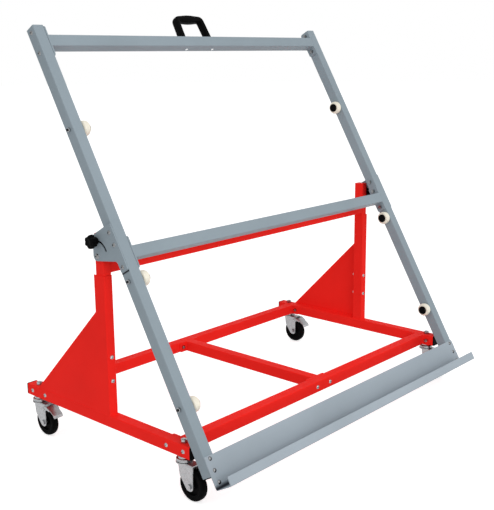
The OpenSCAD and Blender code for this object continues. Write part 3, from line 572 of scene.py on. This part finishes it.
class CART_OT_paint_base(bpy.types.Operator):
    """Powder-coats the base in red and lays its weld beads"""
    bl_idname = "cart.paint_base"
    bl_label = "Paint Base"

    def execute(self, context):
        finish = context.scene.cart_finish
        coat = powder_coat("red_powder_coat", finish.base_red, finish.paint_roughness, RED_SPECULAR).material
        dress(BASE_PAINT_NODES, coat)
        grid_piece("base_welds", self.seams(context.scene.cart_shape.bead_radius), coat, "base")
        return {"FINISHED"}

    def seams(self, radius):
        """Beads at the feet of posts and gussets, at the crossbeam and at the end plates of the beams."""
        up = (0.0, 0.0, 1.0)
        beam_low, beam_high, _ = node_box("upper_crossbeam")
        grids = []
        for side, out in (("left", -1.0), ("right", 1.0)):
            gusset, post = node_box(f"{side}_gusset"), node_box(f"{side}_post")
            foot, front, rear, tip = gusset[0][2], gusset[0][1], post[1][1], gusset[1][1]
            face = gusset[0][0] if out < 0 else gusset[1][0]
            inner = post[1][0] if out < 0 else post[0][0]
            seam, lap, web = face - out * GUSSET_BEAD_INSET, inner - out * BEAD_STAND, face - out * GUSSET_SHEET
            grids += [
                bead((seam, front + GUSSET_FRONT_MARGIN, foot), (seam, tip - GUSSET_TIP_MARGIN, foot), up, radius),
                bead((lap, front + SEAM_MARGIN, foot), (lap, rear, foot), up, radius),
                bead((inner, rear + BEAD_STAND, foot), (web, rear + BEAD_STAND, foot), up, radius),
                bead((inner, front - BEAD_STAND, foot), (web, front - BEAD_STAND, foot), up, radius)]
            grids += [bead((lap, beam_low[1] + SEAM_MARGIN, z), (lap, beam_high[1] - SEAM_MARGIN, z), up, radius)
                      for z in (beam_low[2] - BEAD_STAND, beam_high[2] + BEAD_STAND)]
        for node in ("front_beam", "rear_beam"):
            low, high, middle = node_box(node)
            grids += [grid + middle for grid in bar_beads((high[0] - low[0]) / 2, radius)]
        low, high, middle = node_box("cross_member")
        grids += [grid[..., [1, 0, 2]] + middle for grid in bar_beads((high[1] - low[1]) / 2, radius)]
        return grids


class CART_OT_paint_frame(bpy.types.Operator):
    """Powder-coats the tilting frame in grey and lays its weld beads"""
    bl_idname = "cart.paint_frame"
    bl_label = "Paint Frame"

    def execute(self, context):
        finish, shape = context.scene.cart_finish, context.scene.cart_shape
        frame_coat = powder_coat("grey_powder_coat", finish.frame_grey, finish.paint_roughness, GREY_SPECULAR)
        # Painted shadow on the rails below the lower ends of the pivot plates
        paint_plate_shadow(frame_coat, finish.painted_shade, shape.rest_tilt)
        dress(FRAME_PAINT_NODES, frame_coat.material)
        # The shelf's coat takes the lightened grey: painted light against the shade in the shelf's trough
        shelf_coat = powder_coat("shelf_powder_coat", finish.lightened_shelf_grey, finish.paint_roughness, GREY_SPECULAR)
        # Painted shade on the ledge's floor, darkest in its inner corner
        paint_ledge_shade(shelf_coat, finish.painted_shade)
        dress(["shelf"], shelf_coat.material)
        grids = []
        for node in ("top_bar", "middle_bar"):
            low, high, middle = node_box(node)
            grids += [leant(grid[..., [0, 2, 1]] + level(middle, shape.rest_tilt), shape.rest_tilt)
                      for grid in bar_beads((high[0] - low[0]) / 2, shape.bead_radius)]
        grid_piece("frame_welds", grids, frame_coat.material, "tilt_frame")
        return {"FINISHED"}


class CART_OT_plate_steel(bpy.types.Operator):
    """Zinc-plates the bolts, forks and axles"""
    bl_idname = "cart.plate_steel"
    bl_label = "Plate Steel"

    def execute(self, context):
        finish = context.scene.cart_finish
        dress(FRAME_BOLT_NODES, zinc_plate("bolt_zinc", finish.bolt_zinc))
        dress(BASE_BOLT_NODES, zinc_plate("base_bolt_zinc", finish.zinc))
        dress([f"fork_{c}" for c in CORNERS], zinc_plate("fork_zinc", finish.zinc))
        dress([f"axle_{c}" for c in CORNERS], zinc_plate("axle_zinc", finish.zinc))
        dress(["handle_bolts"], zinc_plate("handle_bolt_zinc", finish.bright_zinc))
        return {"FINISHED"}


class CART_OT_fit_swivels(bpy.types.Operator):
    """Turns the swivel cups: a rolled race below a pressed neck"""
    bl_idname = "cart.fit_swivels"
    bl_label = "Fit Swivels"

    def execute(self, context):
        low, high, _ = node_box("caster_cups")
        rise = high[2] - low[2]
        profile = eased([
            [0.0062, 0.0], [0.0236, 0.0], [0.0258, 0.0010], [0.0262, 0.0028], [0.0256, 0.0044], [0.0248, 0.0050],
            [0.0256, 0.0057], [0.0261, 0.0074], [0.0254, 0.0094], [0.0232, 0.0104], [0.0200, 0.0108],
            [0.0192, 0.0118], [0.0190, 0.0140], [0.0190, rise], [0.0062, rise]], 2)
        seats = [(*JOINT_PLACES[f"swivel_{c}_turn"][:2], low[2]) for c in CORNERS]
        grids = [turned(profile, seat, (0.0, 0.0, 1.0), CUP_STEPS) for seat in seats]
        zinc = zinc_plate("race_zinc", context.scene.cart_finish.zinc)
        grid_piece("swivel_cups", grids, zinc, "base", ("caster_cups",), closed=True)
        return {"FINISHED"}


class CART_OT_press_pedals(bpy.types.Operator):
    """Presses the brake pedals: a tread with a bent lip on two riveted lugs"""
    bl_idname = "cart.press_pedals"
    bl_label = "Press Pedals"

    def execute(self, context):
        zinc = zinc_plate("pedal_zinc", context.scene.cart_finish.zinc)
        parts = [self.tread(), *self.lug(-1.0), *self.lug(1.0)]
        for corner in ("rear_left", "rear_right"):
            grids = [part + JOINT_PLACES[f"pedal_{corner}_press"] for part in parts]
            grid_piece(f"pressed_pedal_{corner}", grids, zinc, f"pedal_{corner}", (f"brake_{corner}",))
        return {"FINISHED"}

    def tread(self):
        """Thin rounded section carried from the heel over the knee to the lip, narrowing from lugs to lip."""
        step, half_sheet, half_width, flare = 0.0008, 0.0015, 0.0191, 0.0030
        flare_end, flare_run, lip_run = 0.45, 0.3, 0.05
        bends = np.array([
            [0.0, -0.0176, 0.0100], [0.0, -0.0300, 0.0014], [0.0, -0.0460, -0.0092], [0.0, -0.0515, -0.0126],
            [0.0, -0.0540, -0.0172], [0.0, -0.0572, -0.0238]])
        path = walked(eased(bends, 3), step)
        share = np.linspace(0.0, 1.0, len(path))
        half = half_width + flare * np.clip((flare_end - share) / flare_run, 0.0, 1.0)
        half -= flare * np.clip((share - (1.0 - lip_run)) / lip_run, 0.0, 1.0) ** 2
        halves = np.stack([np.full(len(path), half_sheet), half], -1)
        return carried(path, (1.0, 0.0, 0.0), halves[:, None] * superellipse(FINE_STEPS, (0.7, 0.12))[None])

    def lug(self, out):
        """Lug: an eased outline drawn through its thickness with broken edges. Rivet: a turned pin with a dome."""
        outline = eased_loop([
            [0.0075, -0.0045], [0.0082, 0.0040], [0.0030, 0.0092], [-0.0140, 0.0126], [-0.0200, 0.0098],
            [-0.0335, 0.0002], [-0.0330, -0.0036], [-0.0200, 0.0004], [-0.0105, -0.0052], [-0.0040, -0.0082],
            [0.0040, -0.0078]], 3)
        middle = outline.mean(axis=0)
        layers = ((0.0191, 0.97), (0.0195, 1.0), (0.0217, 1.0), (0.0221, 0.97))
        rows = [np.column_stack([np.full(len(outline), out * x), middle + (outline - middle) * size])
                for x, size in layers]
        rivet = np.array([
            [0.0040, 0.0158], [0.0040, 0.0222], [0.0058, 0.0221], [0.0056, 0.0229], [0.0043, 0.0236],
            [0.0020, 0.0239]]) * (1.0, out)
        return np.stack(rows), turned(rivet, (0.0, 0.0, 0.0), (1.0, 0.0, 0.0), RIVET_STEPS)


class CART_OT_mould_plastic(bpy.types.Operator):
    """Finishes the plugs, caps and pads in black plastic"""
    bl_idname = "cart.mould_plastic"
    bl_label = "Mould Plastic"

    def execute(self, context):
        dress(MOULDED_NODES, moulded_plastic("black_plastic", context.scene.cart_finish.plastic))
        return {"FINISHED"}


class CART_OT_bend_handle(bpy.types.Operator):
    """Moulds the bow handle on the top bar"""
    bl_idname = "cart.bend_handle"
    bl_label = "Bend Handle"

    def execute(self, context):
        shape = context.scene.cart_shape
        low, high, _ = node_box("handle")
        foot = level(node_box("top_bar")[2], shape.rest_tilt) + (0.0, 0.0, HALF_TUBE)
        path = self.bow((high[0] - low[0] - shape.grip_width) / 2, shape.handle_rise, shape.handle_lean)
        grid = leant(self.skin(path, shape) + foot, shape.rest_tilt)
        plastic = moulded_plastic("handle_plastic", context.scene.cart_finish.plastic)
        grid_piece("bow_handle", [grid], plastic, "tilt_frame", ("handle",))
        return {"FINISHED"}

    def bow(self, half, rise, lean):
        """Middle line of the bow: legs that lean inwards, round corners and a level grip."""
        step, leg_share, grip_share = 0.0018, 0.34, 0.60
        corner = np.array([half - rise * math.tan(lean), 0.0, rise])
        leg = np.array([half, 0.0, 0.0])
        near = corner + (leg - corner) * leg_share
        side = corner * (grip_share, 1.0, 1.0)
        right = eased([leg, leg + (near - leg) * 0.5, near, corner, side, side * (0.5, 1.0, 1.0)], 4)
        return walked(np.vstack([right * (-1.0, 1.0, 1.0), right[::-1]]), step)

    def skin(self, path, shape):
        """Superellipse carried along the bow; over the grip its half height gains swell cos^2(pi x / 2 reach)."""
        waist, foot, foot_height, inset = 0.93, 0.07, 0.02, 0.0004
        rise = np.abs(path[:, 2])
        reach = np.abs(path[:, 0]).max()
        middle = np.cos(np.pi / 2 * path[:, 0] / reach) ** 2
        half = shape.grip_width / 2 * (waist + foot * np.exp(-(rise / foot_height) ** 2)) + shape.grip_swell * middle
        halves = np.stack([half, np.full(len(path), shape.grip_depth / 2 - inset)], -1)
        return carried(path, (0.0, 1.0, 0.0), halves[:, None] * superellipse(HANDLE_STEPS, 0.68)[None])


class CART_OT_mould_knobs(bpy.types.Operator):
    """Moulds the lobed clamp knobs"""
    bl_idname = "cart.mould_knobs"
    bl_label = "Mould Knobs"

    def execute(self, context):
        shape = context.scene.cart_shape
        plastic = moulded_plastic("knob_plastic", context.scene.cart_finish.plastic)
        for side, out in (("left", -1.0), ("right", 1.0)):
            low, high, middle = node_box(f"{side}_knob")
            seat = (high[0] if out < 0 else low[0], *middle[1:])
            grid = self.lobed(seat, out, high[0] - low[0], (high[2] - low[2]) / 2, shape.lobe_height)
            grid_piece(f"{side}_lobed_knob", [grid], plastic, f"{side}_clamp", (f"{side}_knob",))
        return {"FINISHED"}

    def lobed(self, seat, out, length, reach, lobe):
        """Knob skin: rows of h, m and w give radius m + w cos 6a at height h, from the hub to the dished end."""
        body = reach - lobe
        rows = eased(np.array([
            [0.0, 0.0125, 0.0], [0.004, 0.0128, 0.0], [0.0058, 0.0134, 0.0004], [0.0066, body - 0.002, lobe * 0.5],
            [0.0084, body, lobe], [0.014, body, lobe], [0.019, body - 0.0004, lobe],
            [0.0222, body - 0.0016, lobe * 0.8], [0.0240, body - 0.0052, lobe * 0.4], [0.0242, 0.0098, 0.0002],
            [0.0236, 0.0084, 0.0], [0.0232, 0.006, 0.0], [0.0232, 0.0004, 0.0],
        ]) * (length / KNOB_ROWS_LENGTH, 1.0, 1.0), 3)
        a = full_turn(WHEEL_STEPS)
        r = rows[:, 1:2] + rows[:, 2:3] * np.cos(KNOB_LOBES * a)
        h = np.repeat(rows[:, :1], WHEEL_STEPS, 1)
        return np.stack([seat[0] + out * h, seat[1] + r * np.sin(a), seat[2] + r * np.cos(a)], -1)


class CART_OT_fit_wheels(bpy.types.Operator):
    """Moulds the tyres of the casters and finishes their hubs"""
    bl_idname = "cart.fit_wheels"
    bl_label = "Fit Wheels"

    def execute(self, context):
        finish = context.scene.cart_finish
        rubber = tyre_rubber("tyre_rubber", finish.rubber)
        for corner in CORNERS:
            node = f"tyre_{corner}"
            grid = wheel_ring(node, self.section)
            grid_piece(f"crowned_{node}", [grid], rubber, f"wheel_{corner}", (node,), closed=True)
        dress([f"hub_{c}" for c in CORNERS], moulded_plastic("hub_plastic", finish.plastic, HUB_GRAIN))
        return {"FINISHED"}

    def section(self, reach, half):
        """Closed tyre section of (radius, height): crowned tread, round shoulders, ringed walls and a bead seat."""
        wall = np.array([
            [reach, 0.0], [reach - 0.0002, half * 0.42], [reach - 0.0010, half * 0.70], [reach - 0.0030, half * 0.92],
            [reach - 0.0058, half * 0.995], [reach - 0.0074, half], [reach - 0.0082, half - 0.0007],
            [reach - 0.0090, half], [reach - 0.0112, half * 0.985], [reach - 0.0134, half * 0.93],
            [reach - 0.0139, half * 0.80]])
        return mirrored(wall)


class CART_OT_fit_rollers(bpy.types.Operator):
    """Moulds the guide rollers in ivory nylon"""
    bl_idname = "cart.fit_rollers"
    bl_label = "Fit Rollers"

    def execute(self, context):
        nylon = roller_nylon("roller_nylon", context.scene.cart_finish.ivory)
        for name in ROLLERS:
            grid = wheel_ring(name, self.section)
            grid_piece(f"turned_{name}", [grid], nylon, f"guide_{name}", (name,), closed=True)
        return {"FINISHED"}

    def section(self, reach, half):
        """Closed roller section of (radius, height): round tread, broad shoulders and a plain bore."""
        wall = np.array([
            [reach, 0.0], [reach, half * 0.30], [reach - 0.0006, half * 0.56], [reach - 0.0026, half * 0.84],
            [reach - 0.0060, half * 0.985], [reach - 0.0080, half], [reach * 0.55, half], [0.0046, half],
            [0.0042, half * 0.97]])
        return mirrored(wall)


class CART_OT_turn_axles(bpy.types.Operator):
    """Turns the roller axles: a black bolt with a washer beside each roller and a nut outside its rail"""
    bl_idname = "cart.turn_axles"
    bl_label = "Turn Axles"

    def execute(self, context):
        finish = context.scene.cart_finish
        bolts, nuts = [], []
        for name in ROLLERS:
            side = name.split("_")[1]
            low, high, _ = node_box(f"{side}_rail")
            face, inward = (low[0], 1.0) if side == "left" else (high[0], -1.0)
            seat = np.array([face, *JOINT_PLACES[f"guide_{name}_spin"][1:]])
            bolts.append(turned(self.bolt(), seat, (inward, 0.0, 0.0), FINE_STEPS))
            nuts.append(self.nut(seat, inward))
        black, zinc = zinc_plate("axle_black", finish.axle_black), zinc_plate("nut_zinc", finish.zinc)
        grid_piece("roller_axle_bolts", bolts, black, "tilt_frame", ("roller_axles",))
        grid_piece("roller_axle_nuts", nuts, zinc, "tilt_frame", closed=True)
        return {"FINISHED"}

    def bolt(self):
        """Rows of (radius, depth behind the rail's outer face): tail, shank, washer and end."""
        return np.array([
            [0.0030, -0.0112], [0.0038, -0.0106], [0.0040, -0.0100], [0.0040, 0.0398], [0.0042, 0.0400],
            [0.0077, 0.0400], [0.0080, 0.0403], [0.0080, 0.0417], [0.0077, 0.0420], [0.0042, 0.0420],
            [0.0040, 0.0422], [0.0040, 0.0702], [0.0036, 0.0706]])

    def nut(self, seat, inward):
        """Hexagon nut: rows of m, w and h give radius m + w f(a) at depth h, where f is half the width across the
        flats over the cosine of the angle from the middle of the nearest flat."""
        rows = np.array([
            [0.0041, 0.0, -0.0001], [0.0, 0.94, -0.0001], [0.0, 1.0, -0.0006], [0.0, 1.0, -0.0058],
            [0.0, 0.97, -0.0062], [0.0, 0.90, -0.0066], [0.0044, 0.0, -0.0066], [0.0041, 0.0, -0.0062]])
        a = full_turn(FINE_STEPS)
        flats = NUT_HALF_FLATS / np.cos((a + np.pi / 6) % (np.pi / 3) - np.pi / 6)
        r = rows[:, :1] + rows[:, 1:2] * flats
        h = np.repeat(rows[:, 2:], FINE_STEPS, 1)
        return seat + np.stack([inward * h, r * np.cos(a), r * np.sin(a)], -1)


def floor_mesh(radius):
    """Round floor: rings of radius r and angle a give (r cos a, r sin a, 0)."""
    rings, steps = FLOOR_RINGS, FLOOR_STEPS
    r, a = np.meshgrid(radius * np.linspace(0.0, 1.0, rings + 1)[1:] ** 2, full_turn(steps), indexing="ij")
    points = np.column_stack([(r * np.cos(a)).ravel(), (r * np.sin(a)).ravel(), np.zeros(r.size)])
    points = np.vstack([points, [[0.0, 0.0, 0.0]]])
    i, j = np.meshgrid(np.arange(rings - 1), np.arange(steps), indexing="ij")
    k = (j + 1) % steps
    quads = np.stack([i * steps + j, (i + 1) * steps + j, (i + 1) * steps + k, i * steps + k], -1).reshape(-1, 4)
    fan = np.column_stack([np.full(steps, len(points) - 1), np.arange(steps), (np.arange(steps) + 1) % steps])
    mesh = bpy.data.meshes.new("studio_floor")
    mesh.from_pydata(points.tolist(), [], quads.tolist() + fan.tolist())
    return mesh


def floor_finish():
    """Pale floor: white where the camera and reflections see it, greyer as a source of bounced light."""
    tree = FinishTree("studio_floor", specular=FLOOR_SPECULAR)
    tree.shade(tree.noise(scale=1.2, detail=3.0), FLOOR_GREY, low=0.995, high=1.005)
    tree.shader.inputs["Roughness"].default_value = FLOOR_ROUGHNESS
    tree.shader.inputs["Emission Color"].default_value = (1.0, 1.0, 1.0, 1.0)
    glow = math_node(tree.node_tree, "MULTIPLY", seen_rays(tree.node_tree), FLOOR_GLOW)
    tree.links.new(glow, tree.shader.inputs["Emission Strength"])
    return tree.material


def studio_world(strength):
    """Even pale surround: white to the camera and to reflections, softer as light."""
    world = bpy.data.worlds.new("studio_world")
    world.use_nodes = True
    nodes, links = world.node_tree.nodes, world.node_tree.links
    back = nodes["Background"]
    back.inputs["Color"].default_value = (1.0, 1.0, 1.0, 1.0)
    glow = nodes.new("ShaderNodeMapRange")
    glow.inputs["To Min"].default_value = strength
    glow.inputs["To Max"].default_value = 1.0
    links.new(seen_rays(world.node_tree), glow.inputs["Value"])
    links.new(glow.outputs["Result"], back.inputs["Strength"])
    return world


def area_lamp(name, place, target, size, power):
    """Large soft lamp at place, turned towards target."""
    light = bpy.data.lights.new(name, "AREA")
    light.shape = "DISK"
    light.size = size
    light.energy = power
    lamp = bpy.data.objects.new(name, light)
    lamp.location = place
    lamp.rotation_euler = (Vector(target) - Vector(place)).to_track_quat("-Z", "Y").to_euler()
    bpy.context.scene.collection.objects.link(lamp)


class CART_OT_set_stage(bpy.types.Operator):
    """Sets the pale floor, the soft studio light and the camera"""
    bl_idname = "cart.set_stage"
    bl_label = "Set Stage"

    def execute(self, context):
        stage = context.scene.cart_stage
        floor = bpy.data.objects.new("studio_floor", floor_mesh(stage.floor_radius))
        floor.data.materials.append(floor_finish())
        context.scene.collection.objects.link(floor)
        context.scene.world = studio_world(stage.ambient)
        for name, (place, target, size, share) in LAMPS.items():
            area_lamp(name, place, target, size, stage.key_power * share)
        context.scene.view_settings.view_transform = "Standard"
        self.set_camera(context, stage)
        return {"FINISHED"}

    def set_camera(self, context, stage):
        """Camera matrix from yaw, pitch and roll: columns right, up and backwards."""
        forward = Vector((math.sin(stage.yaw) * math.cos(stage.pitch),
                          math.cos(stage.yaw) * math.cos(stage.pitch), -math.sin(stage.pitch)))
        right = Vector((math.cos(stage.yaw), -math.sin(stage.yaw), 0.0))
        up = right.cross(forward)
        aside = right * math.cos(stage.roll) + up * math.sin(stage.roll)
        turn = Matrix((aside, aside.cross(forward), -forward)).transposed().to_4x4()
        camera = bpy.data.objects.new("studio_camera", bpy.data.cameras.new("studio_camera"))
        camera.data.lens = stage.lens
        camera.data.sensor_width = SENSOR_WIDTH
        camera.matrix_world = Matrix.Translation(stage.spot) @ turn
        context.scene.collection.objects.link(camera)
        context.scene.camera = camera


STEPS = (
    CART_OT_set_stage, CART_OT_paint_base, CART_OT_paint_frame, CART_OT_plate_steel, CART_OT_fit_swivels,
    CART_OT_press_pedals, CART_OT_mould_plastic, CART_OT_bend_handle, CART_OT_mould_knobs, CART_OT_fit_wheels,
    CART_OT_fit_rollers, CART_OT_turn_axles,
)


class CART_PT_build(bpy.types.Panel):
    """Lists the steps that dress the cart"""
    bl_idname = "CART_PT_build"
    bl_label = "Drywall Cart"
    bl_space_type = "VIEW_3D"
    bl_region_type = "UI"
    bl_category = "Cart"

    def draw(self, context):
        for step in STEPS:
            self.layout.operator(step.bl_idname)


SETTINGS = (CartShapeSettings, CartFinishSettings, CartStageSettings)


def register():
    """Registers the classes and hangs the settings on the scene."""
    for cls in SETTINGS + STEPS + (CART_PT_build,):
        bpy.utils.register_class(cls)
    bpy.types.Scene.cart_shape = PointerProperty(type=CartShapeSettings)
    bpy.types.Scene.cart_finish = PointerProperty(type=CartFinishSettings)
    bpy.types.Scene.cart_stage = PointerProperty(type=CartStageSettings)


def unregister():
    """Takes away what register added, in reverse order."""
    del bpy.types.Scene.cart_stage
    del bpy.types.Scene.cart_finish
    del bpy.types.Scene.cart_shape
    for cls in reversed(SETTINGS + STEPS + (CART_PT_build,)):
        bpy.utils.unregister_class(cls)


def main():
    """Runs every step."""
    register()
    for step in STEPS:
        group, name = step.bl_idname.split(".")
        getattr(getattr(bpy.ops, group), name)()


if __name__ == "__main__":
    main()
